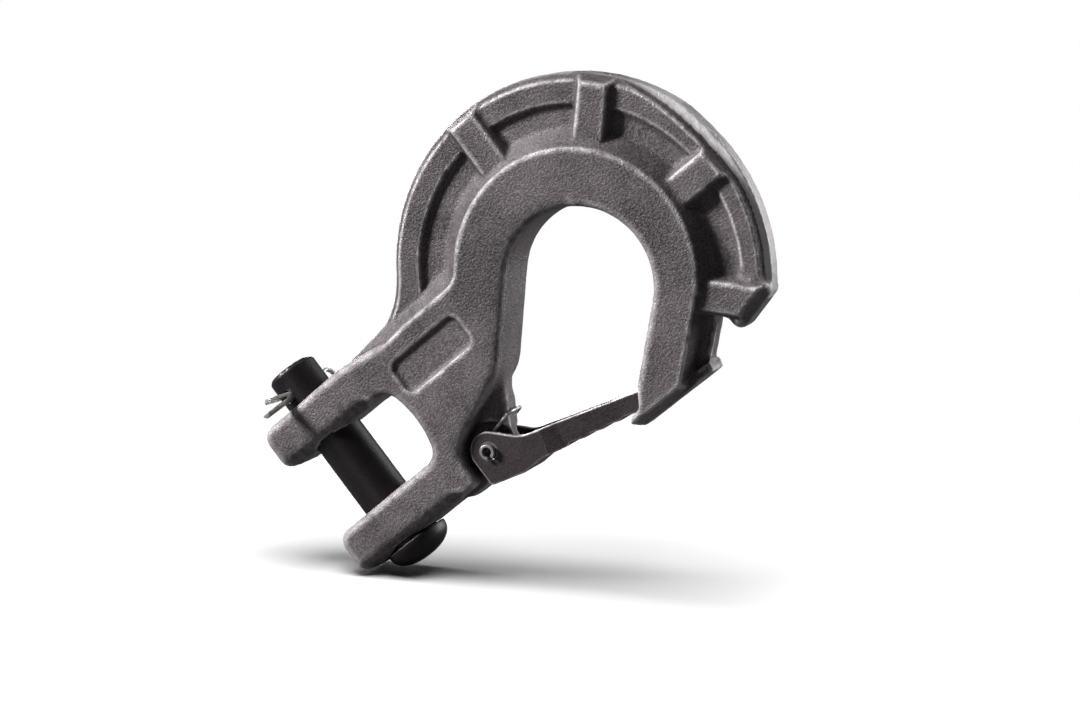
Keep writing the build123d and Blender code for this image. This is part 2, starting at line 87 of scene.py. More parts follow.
# %% Helpers: materials and their nodes


def new_material(name):
    """A node material with nothing in it but its output."""
    material = bpy.data.materials.new(name)
    material.use_nodes = True
    material.node_tree.nodes.clear()
    return material, material.node_tree.nodes, material.node_tree.links


def math_node(tree, operation, first, second=0.0):
    """A Math node on two sockets or numbers."""
    node = tree.nodes.new("ShaderNodeMath")
    node.operation = operation
    for slot, value in ((0, first), (1, second)):
        if isinstance(value, (int, float)):
            node.inputs[slot].default_value = value
        else:
            tree.links.new(value, node.inputs[slot])
    return node.outputs[0]


def ranged(tree, value, from_low, from_high, to_low, to_high):
    """A value mapped from one range to another, and held at its ends."""
    node = tree.nodes.new("ShaderNodeMapRange")
    for name, number in (("From Min", from_low), ("From Max", from_high),
                         ("To Min", to_low), ("To Max", to_high)):
        if isinstance(number, (int, float)):
            node.inputs[name].default_value = number
        else:
            tree.links.new(number, node.inputs[name])
    tree.links.new(value, node.inputs["Value"])
    return node.outputs[0]


def mixed_colour(tree, share, first, second):
    """A colour between two others; each may be a socket or four numbers."""
    node = tree.nodes.new("ShaderNodeMix")
    node.data_type = "RGBA"
    for slot, value in ((0, share), (6, first), (7, second)):
        if isinstance(value, bpy.types.NodeSocket):
            tree.links.new(value, node.inputs[slot])
        else:
            node.inputs[slot].default_value = value
    return node.outputs[2]


def seen_rays(tree):
    """1 where the camera, a reflection or a view through glass looks, 0 for light on its way."""
    ray = tree.nodes.new("ShaderNodeLightPath")
    both = math_node(tree, "MAXIMUM", ray.outputs["Is Camera Ray"], ray.outputs["Is Glossy Ray"])
    return math_node(tree, "MAXIMUM", both, ray.outputs["Is Transmission Ray"])


# %% Build the floor
floor_up = Vector((0.646, 0.7633, 0)).normalized()
lowest = min(floor_up.dot(v.co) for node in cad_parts.values() for v in node.data.vertices)
floor_half = 6.0
floor_gap = 0.0005
floor_x = floor_up.cross(Vector((0, 0, 1))).normalized()
floor_z = floor_x.cross(floor_up)
floor_middle = floor_up * (lowest - floor_gap)
corners = [floor_middle + a * floor_half * floor_x + b * floor_half * floor_z
           for a, b in ((-1, -1), (1, -1), (1, 1), (-1, 1))]
floor_mesh = bpy.data.meshes.new("floor")
floor_mesh.from_pydata(corners, [], [(0, 1, 2, 3)])
if floor_mesh.polygons[0].normal.dot(floor_up) < 0:
    floor_mesh.flip_normals()
floor = bpy.data.objects.new("floor", floor_mesh)
bpy.context.scene.collection.objects.link(floor)
print("floor lies", round(-1000 * lowest, 1), "mm below the clevis pin's middle")

# %% Paper that turns into even white further out
hook_middle = Vector((0.075, -0.004, 0))
paper, nodes, links = new_material("white_paper")
tree = paper.node_tree
near_r, far_r = 0.22, 0.34
paper_tone, bounce_tone, in_gloss_tone = 0.95, 0.15, 0.15
from_middle = nodes.new("ShaderNodeVectorMath")
from_middle.operation = "DISTANCE"
links.new(nodes.new("ShaderNodeTexCoord").outputs["Object"], from_middle.inputs[0])
from_middle.inputs[1].default_value = hook_middle
seen = seen_rays(tree)
camera_ray = nodes.new("ShaderNodeLightPath").outputs["Is Camera Ray"]
tone = ranged(tree, camera_ray, 0, 1, bounce_tone, paper_tone)
lit_paper = nodes.new("ShaderNodeBsdfPrincipled")
lit_paper.inputs["Roughness"].default_value = 0.9
lit_paper.inputs["Specular IOR Level"].default_value = 0.0
links.new(tone, lit_paper.inputs["Base Color"])
even_white = nodes.new("ShaderNodeEmission")
links.new(math_node(tree, "MULTIPLY", seen, ranged(tree, camera_ray, 0, 1, in_gloss_tone, 1)),
          even_white.inputs["Strength"])
far_mix = nodes.new("ShaderNodeMixShader")
links.new(ranged(tree, from_middle.outputs["Value"], near_r, far_r, 0, 1), far_mix.inputs[0])
links.new(lit_paper.outputs[0], far_mix.inputs[1])
links.new(even_white.outputs[0], far_mix.inputs[2])
see_through = nodes.new("ShaderNodeBsdfTransparent")
side_mix = nodes.new("ShaderNodeMixShader")
links.new(nodes.new("ShaderNodeNewGeometry").outputs["Backfacing"], side_mix.inputs[0])
links.new(far_mix.outputs[0], side_mix.inputs[1])
links.new(see_through.outputs[0], side_mix.inputs[2])
links.new(side_mix.outputs[0], nodes.new("ShaderNodeOutputMaterial").inputs["Surface"])
floor.data.materials.append(paper)
print("paper fades to white from", near_r, "to", far_r, "m")

# %% [markdown]
# ## The light
# The walls of the band show where the light stands: those that face the upper left are bright, those that
# face straight up are half lit, and those on the right are black. So the main lamp is low over the hook's
# face, on the upper left, and grazes it, which also brings out the pebbled coating. A weak lamp above lights
# what faces up, one on the right and one behind light the rim and the back, and a faint one in front opens
# the darkest sides. A large lamp lights the paper alone and gives it the soft shadow. Light linking keeps
# all the others off the paper, but for the weak one above.

# %% Place the lamps


def light_group(name, state):
    """The floor in a collection: EXCLUDE keeps a lamp off it, INCLUDE lets a lamp light it alone."""
    group = bpy.data.collections.new(name)
    group.objects.link(floor)
    group.collection_objects[0].light_linking.link_state = state
    return group


off_paper = light_group("keeps_off_paper", "EXCLUDE")
on_paper = light_group("only_on_paper", "INCLUDE")


def soft_lamp(name, right, up, back, width, height, watts, reaches=None):
    """A rectangular lamp, placed from the hook's middle along the camera's axes and aimed at it."""
    lamp = bpy.data.lights.new(name, "AREA")
    lamp.shape = "RECTANGLE"
    lamp.size = width
    lamp.size_y = height
    lamp.energy = watts
    place = hook_middle + right * view_right + up * view_up + back * view_back
    holder = bpy.data.objects.new(name, lamp)
    aim = (place - hook_middle).to_track_quat("Z", "Y")
    holder.matrix_world = Matrix.Translation(place) @ aim.to_matrix().to_4x4()
    holder.visible_camera = False
    if reaches is not None:
        holder.light_linking.receiver_collection = reaches
    bpy.context.scene.collection.objects.link(holder)
    print(name, "stands", round((place - hook_middle).length, 2), "m away")
    return holder


# Each lamp's place to the right, up and back, its width and height, all in metres, and its watts.
soft_lamp("window_lamp", -1.9, 1.02, 0.5, 0.5, 0.5, 101, off_paper)
soft_lamp("top_lamp", 0.0, 1.18, 0.21, 0.7, 0.5, 2.6)
soft_lamp("paper_lamp", -0.13, 2.7, 1.28, 2.8, 2.0, 133, on_paper)
soft_lamp("rim_lamp", 1.0, 0.3, -0.45, 0.8, 0.8, 13, off_paper)
soft_lamp("back_lamp", -0.21, 0.29, -1.1, 0.4, 0.4, 10, off_paper)
soft_lamp("front_lamp", -0.63, -0.32, 0.91, 0.45, 0.45, 1.5, off_paper)

# %% The studio round the hook
# White for the camera. Reflections see a dimmer room, with a dark side in front.
world = bpy.data.worlds.new("studio")
world.use_nodes = True
bpy.context.scene.world = world
tree = world.node_tree
tree.nodes.clear()
ambient, bright_side, dark_side = 0.02, 0.14, 0.02
dark_from, dark_full = -0.1, 0.6
room_front = Vector((-0.386, 0.091, 0.918))
looks = tree.nodes.new("ShaderNodeVectorMath")
looks.operation = "DOT_PRODUCT"
tree.links.new(tree.nodes.new("ShaderNodeTexCoord").outputs["Generated"], looks.inputs[0])
looks.inputs[1].default_value = room_front
in_gloss = ranged(tree, looks.outputs["Value"], dark_from, dark_full, bright_side, dark_side)
ray = tree.nodes.new("ShaderNodeLightPath")
glossy = math_node(tree, "MAXIMUM", ray.outputs["Is Glossy Ray"], ray.outputs["Is Transmission Ray"])
not_camera = ranged(tree, glossy, 0, 1, ambient, in_gloss)
level = ranged(tree, ray.outputs["Is Camera Ray"], 0, 1, not_camera, 1.0)
sky = tree.nodes.new("ShaderNodeBackground")
sky.inputs["Color"].default_value = (1, 1, 1, 1)
tree.links.new(level, sky.inputs["Strength"])
tree.links.new(sky.outputs[0], tree.nodes.new("ShaderNodeOutputWorld").inputs["Surface"])
bpy.context.scene.view_settings.view_transform = "Standard"
print("studio: ambient", ambient, "and a dark side at", dark_side)

# %% [markdown]
# ## Effects that the finishes share
# Two things show on every coated surface of this hook. The coating has a pebbled skin, because it was laid
# over shot-blasted steel, and it has rubbed through to the metal along the edges. Both are made once, as
# node groups with their own inputs, and each material places them with its own sizes. The edge group also
# finds the hollows, and the materials darken them: that darkening is painted shade. Pebbles are under a
# millimetre across, so they are a bump. The rounded edges themselves are in the mesh.

# %% Group: pebbled skin


def new_group(name, inputs, outputs):
    """A shader node group with named inputs and outputs."""
    group = bpy.data.node_groups.new(name, "ShaderNodeTree")
    for label, kind, value in inputs:
        socket = group.interface.new_socket(label, in_out="INPUT", socket_type=kind)
        if value is not None:
            socket.default_value = value
    for label, kind in outputs:
        group.interface.new_socket(label, in_out="OUTPUT", socket_type=kind)
    return group, group.nodes.new("NodeGroupInput"), group.nodes.new("NodeGroupOutput")


def noise_texture(tree, place, scale, detail, roughness):
    """A noise texture on a place; its scale may be a socket or a number."""
    node = tree.nodes.new("ShaderNodeTexNoise")
    tree.links.new(place, node.inputs["Vector"])
    if isinstance(scale, bpy.types.NodeSocket):
        tree.links.new(scale, node.inputs["Scale"])
    else:
        node.inputs["Scale"].default_value = scale
    node.inputs["Detail"].default_value = detail
    node.inputs["Roughness"].default_value = roughness
    return node.outputs["Fac"]


skin, ins, outs = new_group(
    "pebbled_skin",
    [("Place", "NodeSocketVector", None), ("Pebble Scale", "NodeSocketFloat", 900.0),
     ("Grain Scale", "NodeSocketFloat", 3000.0), ("Cloud Scale", "NodeSocketFloat", 60.0),
     ("Grain Share", "NodeSocketFloat", 0.35)],
    [("Height", "NodeSocketFloat"), ("Cloud", "NodeSocketFloat"), ("Fleck", "NodeSocketFloat")],
)
place = ins.outputs["Place"]
pebbles = noise_texture(skin, place, ins.outputs["Pebble Scale"], 3.0, 0.6)
grain = noise_texture(skin, place, ins.outputs["Grain Scale"], 2.0, 0.5)
clouds = noise_texture(skin, place, ins.outputs["Cloud Scale"], 4.0, 0.55)
height = math_node(skin, "ADD", pebbles, math_node(skin, "MULTIPLY", grain, ins.outputs["Grain Share"]))
skin.links.new(height, outs.inputs["Height"])
cloud_range, fleck_range = (0.35, 0.65), (0.38, 0.62)
skin.links.new(ranged(skin, clouds, *cloud_range, 0, 1), outs.inputs["Cloud"])
skin.links.new(ranged(skin, pebbles, *fleck_range, 0, 1), outs.inputs["Fleck"])
print("group pebbled_skin has", len(skin.nodes), "nodes")

# %% Group: rubbed edges, and hollows for painted shade
wear_and_hollow_shade, ins, outs = new_group(
    "edge_wear_and_hollow_shade",
    [("Place", "NodeSocketVector", None), ("Start", "NodeSocketFloat", 0.505),
     ("Full", "NodeSocketFloat", 0.54), ("Patch Scale", "NodeSocketFloat", 250.0)],
    [("Rubbed", "NodeSocketFloat"), ("Hollow Shade", "NodeSocketFloat")],
)
pointed = wear_and_hollow_shade.nodes.new("ShaderNodeNewGeometry").outputs["Pointiness"]
edge = ranged(wear_and_hollow_shade, pointed, ins.outputs["Start"], ins.outputs["Full"], 0, 1)
patches = noise_texture(wear_and_hollow_shade, ins.outputs["Place"], ins.outputs["Patch Scale"], 3.0, 0.55)
patch_range, least_rubbed, hollow_shade_range = (0.3, 0.55), 0.25, (0.495, 0.46)
worn_patches = ranged(wear_and_hollow_shade, patches, *patch_range, least_rubbed, 1)
wear_and_hollow_shade.links.new(math_node(wear_and_hollow_shade, "MULTIPLY", edge, worn_patches), outs.inputs["Rubbed"])
# Hollow Shade is 1 in concave places, where the materials paint shade.
wear_and_hollow_shade.links.new(ranged(wear_and_hollow_shade, pointed, *hollow_shade_range, 0, 1), outs.inputs["Hollow Shade"])
print("group edge_wear_and_hollow_shade has", len(wear_and_hollow_shade.nodes), "nodes")

# %% [markdown]
# ## The finishes
# The forging and the latch carry the same grey coating, a little warm and only slightly glossy. Each is one
# call of one function with its own tones and sizes. The latch's tones are painted about three times darker
# than the forging's, which is painted shade for the mouth it lies in. Where the flash on the rim was ground
# off, bright steel shows, and the mesh says where that is with an attribute. The clevis pin is smoother, as
# a turned part is, and its coat is painted nearly black, which is painted shade for its place between the
# ears. The cotter, the spring pin and the wire are bright steel.

# %% Coated steel


def placed_group(tree, group, place, **values):
    """A node group placed in a material, with its own values."""
    node = tree.nodes.new("ShaderNodeGroup")
    node.node_tree = group
    tree.links.new(place, node.inputs["Place"])
    for name, value in values.items():
        node.inputs[name.replace("_", " ").title()].default_value = value
    return node.outputs


def finished(material, colour, metallic, roughness, height, bump_mm, gloss):
    """The shader at the end of each steel finish."""
    tree = material.node_tree
    surface = tree.nodes.new("ShaderNodeBsdfPrincipled")
    surface.inputs["Specular IOR Level"].default_value = gloss
    for name, value in (("Base Color", colour), ("Metallic", metallic), ("Roughness", roughness)):
        if isinstance(value, bpy.types.NodeSocket):
            tree.links.new(value, surface.inputs[name])
        else:
            surface.inputs[name].default_value = value
    bump = tree.nodes.new("ShaderNodeBump")
    bump.inputs["Distance"].default_value = bump_mm / 1000
    tree.links.new(height, bump.inputs["Height"])
    tree.links.new(bump.outputs[0], surface.inputs["Normal"])
    tree.links.new(surface.outputs[0], tree.nodes.new("ShaderNodeOutputMaterial").inputs["Surface"])
    return material


# Painted shade: the near-black colour that hollows are darkened towards, where shade would fall.
painted_hollow_shade = (0.012, 0.009, 0.01, 1)
ground_steel = (0.74, 0.71, 0.72, 1)
fleck_share, cloud_share, hollow_shade_share, worn_share = 0.55, 0.45, 0.3, 0.85
coat_metallic, bare_metallic, bare_rough, coat_gloss = 0.1, 0.5, 0.48, 0.35
grain_ratio, mean_height, bumps_on_bare = 3.1, 0.65, 0.45


def coated_steel(name, dark, pale, worn, roughness, pebble_scale, bump_mm, edge_start, edge_full):
    """Grey coating on steel: flecks, pebbles, rubbed edges, painted shade in hollows, bare steel where
    ground.
    """
    material, nodes, _ = new_material(name)
    tree = material.node_tree
    place = nodes.new("ShaderNodeTexCoord").outputs["Object"]
    pebbled = placed_group(tree, skin, place, pebble_scale=pebble_scale,
                           grain_scale=grain_ratio * pebble_scale)
    wear_and_shade_at = placed_group(tree, wear_and_hollow_shade, place, start=edge_start, full=edge_full)
    ground = nodes.new("ShaderNodeAttribute")
    ground.attribute_name = "ground"
    fleck_part = math_node(tree, "MULTIPLY", pebbled["Fleck"], fleck_share)
    cloud_part = math_node(tree, "MULTIPLY", pebbled["Cloud"], cloud_share)
    coat = mixed_colour(tree, math_node(tree, "ADD", fleck_part, cloud_part), dark, pale)
    # Painted shade: hollows are darkened towards a near-black colour.
    hollow_shade_part = math_node(tree, "MULTIPLY", wear_and_shade_at["Hollow Shade"], hollow_shade_share)
    with_hollow_shade = mixed_colour(tree, hollow_shade_part, coat, painted_hollow_shade)
    on_edge = mixed_colour(tree, wear_and_shade_at["Rubbed"], with_hollow_shade, worn)
    bared = mixed_colour(tree, ground.outputs["Fac"], on_edge, ground_steel)
    worn_part = math_node(tree, "MULTIPLY", wear_and_shade_at["Rubbed"], worn_share)
    bare_share = math_node(tree, "MAXIMUM", worn_part, ground.outputs["Fac"])
    metallic = ranged(tree, bare_share, 0, 1, coat_metallic, bare_metallic)
    rough = ranged(tree, bare_share, 0, 1, roughness, bare_rough)
    bumps_left = ranged(tree, ground.outputs["Fac"], 0, 1, 1, bumps_on_bare)
    level_height = math_node(tree, "SUBTRACT", pebbled["Height"], mean_height)
    height = math_node(tree, "MULTIPLY", level_height, bumps_left)
    return finished(material, bared, metallic, rough, height, bump_mm, coat_gloss)


forged_coat = coated_steel("forged_coat", (0.038, 0.031, 0.034, 1), (0.185, 0.159, 0.168, 1),
                           (0.5, 0.47, 0.48, 1), 0.44, 1450, 0.3, 0.503, 0.53)
# The latch's tones are the same coating painted about three times darker: painted shade.
latch_coat = coated_steel("latch_coat", (0.014, 0.011, 0.012, 1), (0.06, 0.047, 0.052, 1),
                          (0.5, 0.47, 0.48, 1), 0.4, 1400, 0.16, 0.505, 0.55)
# The pin's tones are the coating painted nearly black: painted shade for its place between the ears.
pin_coat = coated_steel("pin_coat", (0.005, 0.0036, 0.004, 1), (0.014, 0.01, 0.0115, 1),
                        (0.25, 0.23, 0.24, 1), 0.42, 1500, 0.06, 0.53, 0.62)
print("coated finishes:", forged_coat.name, latch_coat.name, pin_coat.name)

# %% Bright steel
scratch_grain_ratio, stain_ratio, stain_rougher = 2.3, 0.25, 0.12
steel_metallic, steel_gloss = 0.75, 0.5


def bright_steel(name, colour, stained, roughness, scratch_scale, bump_mm):
    """Plated steel: bright metal with fine scratches, dull stains, and painted shade in its hollows."""
    material, nodes, _ = new_material(name)
    tree = material.node_tree
    place = nodes.new("ShaderNodeTexCoord").outputs["Object"]
    scratched = placed_group(tree, skin, place, pebble_scale=scratch_scale,
                             grain_scale=scratch_grain_ratio * scratch_scale,
                             cloud_scale=stain_ratio * scratch_scale)
    hollow = placed_group(tree, wear_and_hollow_shade, place)["Hollow Shade"]
    stained_steel = mixed_colour(tree, scratched["Cloud"], stained, colour)
    # Painted shade: its hollows are darkened towards a near-black colour.
    tone = mixed_colour(tree, hollow, stained_steel, painted_hollow_shade)
    rough = ranged(tree, scratched["Cloud"], 0, 1, roughness + stain_rougher, roughness)
    return finished(material, tone, steel_metallic, rough, scratched["Height"], bump_mm, steel_gloss)


plated_steel = bright_steel("plated_steel", (0.72, 0.7, 0.68, 1), (0.42, 0.4, 0.38, 1), 0.36, 1800, 0.03)
spring_pin_steel = bright_steel("spring_pin_steel", (0.45, 0.43, 0.42, 1), (0.2, 0.18, 0.18, 1),
                                0.4, 2200, 0.03)
spring_steel = bright_steel("spring_steel", (0.62, 0.6, 0.59, 1), (0.25, 0.23, 0.22, 1), 0.36, 2500, 0.02)
print("bright finishes:", plated_steel.name, spring_steel.name)

# %% [markdown]
# ## The forging
# A drop forging comes out of its die with every edge rounded, and its faces are never quite flat. The CAD
# solid is sharp, so this piece is a copy of it, remade as an even skin of small faces, smoothed until the
# edges are soft, and pushed in unevenly by about a tenth of a millimetre. An even skin also lets the
# rubbed-edge effect tell edges from hollows. On the right of the rim the flash was ground away: a ring-shaped
# cutter takes that off first, deeper towards the lug, and leaves a steep shoulder with a bright land outside
# it. Four more cutters, in the same mesh, give the lower side of each ear its broad roll.

# %% The cutter that grinds the rim
hub_mm = Vector((96.5, 3.0, 0.0))
ground_section = ((52.7, 9.5), (55.3, 3.4), (57.9, 3.2), (58.2, 1.0), (58.2, -1.0), (57.9, -3.2),
                  (55.3, -3.4), (52.7, -9.5), (61.5, -9.5), (61.5, 9.5))
land_to_mm, outer_from_mm = 57, 60
ground_from, ground_to, ground_steps = -45.0, 60.0, 52
full_depth_turn, run_out_mm = 5.0, 5.0
lug_from, lug_full, trim_mm = -38.0, -40.5, 58.0
narrow_from, narrow_full, narrow_mm = 4.0, -12.0, 0.9


def smooth_step(low, high, value):
    """0 below low, 1 above high, and a smooth rise between them."""
    share = min(max((value - low) / (high - low), 0), 1)
    return share * share * (3 - 2 * share)


def ground_offset(turn):
    """How far the cutter stands off the rim, in mm, at an angle in degrees about the hub."""
    return run_out_mm * smooth_step(full_depth_turn, ground_to, turn)


def land_shift(turn):
    """How much narrower the bright land is, in mm, at an angle in degrees about the hub."""
    return narrow_mm * (1 - smooth_step(narrow_full, narrow_from, turn))


def close_tube(mesh, rings):
    """Faces between each ring of points and the next, and one over each end."""
    for ring, after in zip(rings, rings[1:]):
        for i in range(len(ring)):
            j = (i + 1) % len(ring)
            mesh.faces.new((ring[i], ring[j], after[j], after[i]))
    mesh.faces.new(rings[0])
    mesh.faces.new(rings[-1])


cutter_mesh = bmesh.new()
rings = []
for step in range(ground_steps + 1):
    angle = ground_from + (ground_to - ground_from) * step / ground_steps
    out = Vector((math.cos(math.radians(angle)), math.sin(math.radians(angle)), 0))
    ring = []
    past_lug = 1 - smooth_step(lug_full, lug_from, angle)
    for radius, z in ground_section:
        outer = radius > outer_from_mm
        radius += land_shift(angle) if radius < land_to_mm else 0
        radius += max(trim_mm - radius, 0) * past_lug
        spot = hub_mm + out * (radius + (0 if outer else ground_offset(angle))) + Vector((0, 0, z))
        ring.append(cutter_mesh.verts.new(spot / 1000))
    rings.append(ring)
close_tube(cutter_mesh, rings)
print("rim cutter has", len(cutter_mesh.faces), "faces")

# %% The cutters that roll the lower side of each ear
face_z_mm, above_z_mm, roll_r_mm, roll_arc_steps = 10.5, 14.5, 5.5, 8
ear_tip_mm, roll_stations, roll_lift_mm, roll_over_mm = -19.0, 22, 2.2, 0.3
for wall_y_mm, roll_end_mm in ((12.4, (16.0, 25.0)), (-27.0, (22.0, 34.0))):
    outside_y = wall_y_mm - roll_lift_mm - roll_over_mm
    for face_side in (1, -1):
        rings = []
        for step in range(roll_stations + 1):
            along = ear_tip_mm + (roll_end_mm[1] - ear_tip_mm) * step / roll_stations
            lift = roll_lift_mm * smooth_step(roll_end_mm[0], roll_end_mm[1], along)
            middle_y, middle_z = wall_y_mm + roll_r_mm - lift, face_z_mm - roll_r_mm + lift
            section = []
            for arc_step in range(roll_arc_steps + 1):
                angle = math.pi / 2 * arc_step / roll_arc_steps
                section.append((middle_y - roll_r_mm * math.cos(angle),
                                middle_z + roll_r_mm * math.sin(angle)))
            section += [(section[-1][0], above_z_mm), (outside_y, above_z_mm), (outside_y, section[0][1])]
            rings.append([cutter_mesh.verts.new((along / 1000, y / 1000, face_side * z / 1000))
                          for y, z in section])
        close_tube(cutter_mesh, rings)
bmesh.ops.recalc_face_normals(cutter_mesh, faces=cutter_mesh.faces[:])
cutter_data = bpy.data.meshes.new("forging_cutter")
cutter_mesh.to_mesh(cutter_data)
cutter_mesh.free()
forging_cutter = bpy.data.objects.new("forging_cutter", cutter_data)
bpy.context.scene.collection.objects.link(forging_cutter)
print("all cutters have", len(cutter_data.polygons), "faces")

# %% Helpers: a softened copy of a CAD node


def apply_modifiers(piece):
    """Makes what a piece's modifiers show its own mesh, and removes them."""
    depsgraph = bpy.context.evaluated_depsgraph_get()
    mesh = bpy.data.meshes.new_from_object(piece.evaluated_get(depsgraph), preserve_all_data_layers=True,
                                           depsgraph=depsgraph)
    piece.modifiers.clear()
    piece.data = mesh
    mesh.name = piece.name


def skin_copy(node_name, piece_name, voxel_mm, cutter=None):
    """A copy of a CAD node as one even skin of small faces, with what a cutter takes off left out."""
    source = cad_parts[node_name]
    piece = bpy.data.objects.new(piece_name, source.data.copy())
    bpy.context.scene.collection.objects.link(piece)
    piece.modifiers.new("weld", "WELD").merge_threshold = 0.000002
    if cutter is not None:
        cut = piece.modifiers.new("cut", "BOOLEAN")
        cut.operation = "DIFFERENCE"
        cut.solver = "EXACT"
        cut.object = cutter
    remesh = piece.modifiers.new("remesh", "REMESH")
    remesh.mode = "VOXEL"
    remesh.voxel_size = voxel_mm / 1000
    apply_modifiers(piece)
    return piece


def soften(piece, steps, group_name=""):
    """Rounds a piece's edges, all of them or only those in a vertex group."""
    smooth = piece.modifiers.new("smooth", "SMOOTH")
    smooth.factor = 0.5
    smooth.iterations = steps
    smooth.vertex_group = group_name
    apply_modifiers(piece)


def finish_skin(piece, finish, wave_mm, wave_size_mm):
    """Pushes a piece's faces in unevenly by a little, and gives it its finish."""
    mesh = piece.data
    normals = [v.normal.copy() for v in mesh.vertices]
    for vertex, normal in zip(mesh.vertices, normals):
        wave = noise.fractal(vertex.co * 1000 / wave_size_mm, 1.0, 2.0, 3)
        vertex.co -= normal * (abs(wave) * wave_mm / 1000)
    mesh.polygons.foreach_set("use_smooth", [True] * len(mesh.polygons))
    mesh.materials.clear()
    mesh.materials.append(finish)
    print(piece.name, "has", sum(len(p.vertices) - 2 for p in mesh.polygons), "triangles")


# %% Make the forging
forging = skin_copy("hook_body", "hook_body_forging", 0.63, forging_cutter)
bpy.data.objects.remove(forging_cutter)
soften(forging, 2)

# From the pocket behind the latch to the top of the bowl, the edge of the face is rolled more broadly than
# elsewhere. Two inner corners of the outline are blended too.
roll_line = ((32.7, -21.0), (34.0, -16.6), (37.6, -13.7), (50.5, -8.6), (66.0, 1.5), (80.5, 16.0),
             (87.0, 20.5), (96.5, 22.6), (104.2, 21.2))
roll_reach_mm, roll_fade_mm, roll_low_mm, roll_full_mm, roll_steps = 3.5, 7.0, 3.5, 6.0, 70
blend_spots = ((Vector((56.97, -7.57)), 2.5, 6.0), (Vector((137.57, -28.22)), 1.5, 3.5))


def distance_to_line(spot, line):
    """How far a point lies from a line of points, in plan."""
    near = []
    for start, end in zip(line, line[1:]):
        start, end = Vector(start), Vector(end)
        share = min(max((spot - start).dot(end - start) / (end - start).length_squared, 0), 1)
        near.append((spot - start.lerp(end, share)).length)
    return min(near)


roll_group = forging.vertex_groups.new(name="broad_roll")
rolled = 0
for vertex in forging.data.vertices:
    spot = Vector((vertex.co.x, vertex.co.y)) * 1000
    weight = max(1 - smooth_step(reach, fade, (spot - middle).length) for middle, reach, fade in blend_spots)
    off_middle_mm = abs(vertex.co.z) * 1000
    if off_middle_mm > roll_low_mm:
        near_line = 1 - smooth_step(roll_reach_mm, roll_fade_mm, distance_to_line(spot, roll_line))
        weight = max(weight, near_line * smooth_step(roll_low_mm, roll_full_mm, off_middle_mm))
    if weight > 0:
        roll_group.add([vertex.index], weight, "REPLACE")
        rolled += 1
soften(forging, roll_steps, roll_group.name)
print("broad rolls reach", rolled, "points")
finish_skin(forging, forged_coat, 0.1, 5.0)
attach(forging, "hook")
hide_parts("hook_body")

# %% Mark where the forging is ground bare
land_in_mm, land_half_mm = 55.1, 3.8
side_from_mm, side_dull = 57.5, 0.6
ground_fade = (46.0, 14.0)
end_gap, past_fade = 0.5, 5
ragged_mm, ragged_size_mm, edge_soft_mm, side_soft_mm = 0.2, 3, 0.35, 0.5
bare = forging.data.attributes.new("ground", "FLOAT", "POINT")
marked = 0
for vertex, value in zip(forging.data.vertices, bare.data):
    spot = vertex.co * 1000 - hub_mm
    turn_at = math.degrees(math.atan2(spot.y, spot.x))
    radius = math.hypot(spot.x, spot.y)
    if ground_from + end_gap < turn_at < ground_fade[0] + past_fade and abs(spot.z) < land_half_mm:
        ragged = ragged_mm * noise.noise(spot / ragged_size_mm)
        edge_mm = land_in_mm + ground_offset(turn_at) + land_shift(turn_at) + ragged
        along = 1 - smooth_step(ground_fade[1], ground_fade[0], turn_at)
        on_side = smooth_step(side_from_mm, side_from_mm + side_soft_mm, radius - ground_offset(turn_at))
        on_land = smooth_step(edge_mm - edge_soft_mm, edge_mm + edge_soft_mm, radius)
        value.value = along * on_land * (1 - side_dull * on_side)
        marked += value.value > 0.5
print("ground bare at", marked, "points")

# %% [markdown]
# ## The latch
# The latch is pressed from thin plate and straddles a web on the hook. Its edges are crisper than the
# forging's, so the same helper gets a finer skin, on which the same smoothing rounds less.

# %% Make the latch
latch_plate = skin_copy("latch", "latch_plate", 0.25)
soften(latch_plate, 2)
finish_skin(latch_plate, latch_coat, 0.03, 4.0)
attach(latch_plate, "latch")
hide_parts("latch")

# %% [markdown]
# ## The pins
# The clevis pin is headed and turned, the cotter is folded from half-round wire, and the latch turns on a
# slotted spring pin. All three are small and round. The same helper makes them, with skins fine enough for
# their size, so that their ends catch a thin line of light.

# %% Helper: the dome of the pin's head
head_face_mm, head_radius_mm, head_deep_mm, dome_power = -27.3, 10.4, 6.4, 2.3


def dome_head(pin):
    """Draws the points of the pin's head in towards the middle of its seat, until they lie on a dome."""
    for vertex in pin.data.vertices:
        deep = head_face_mm - vertex.co.y * 1000
        if deep > 0:
            radius = math.hypot(vertex.co.x, vertex.co.z) * 1000
            reach = (radius / head_radius_mm) ** dome_power + (deep / head_deep_mm) ** dome_power
            if reach > 1:
                draw = reach ** (-1 / dome_power)
                vertex.co.x *= draw
                vertex.co.z *= draw
                vertex.co.y = (head_face_mm - deep * draw) / 1000


# %% Make the pins
for node_name, piece_name, body, slot, finish, voxel_mm, smooth_steps, wave_mm in (
        ("clevis_pin", "clevis_pin_turned", "clevis_pin", "pin_coat", pin_coat, 0.35, 3, 0.02),
        ("cotter_pin", "cotter_pin_wire", "clevis_pin", "cotter_steel", plated_steel, 0.22, 2, 0.01),
        ("latch_pivot_pin", "latch_pivot_spring_pin", "hook", "bright_steel", spring_pin_steel,
         0.2, 1, 0.01)):
    pin = skin_copy(node_name, piece_name, voxel_mm)
    soften(pin, smooth_steps)
    if node_name == "clevis_pin":
        dome_head(pin)
    finish_skin(pin, finish, wave_mm, 3.0)
    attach(pin, body)
    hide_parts(node_name)

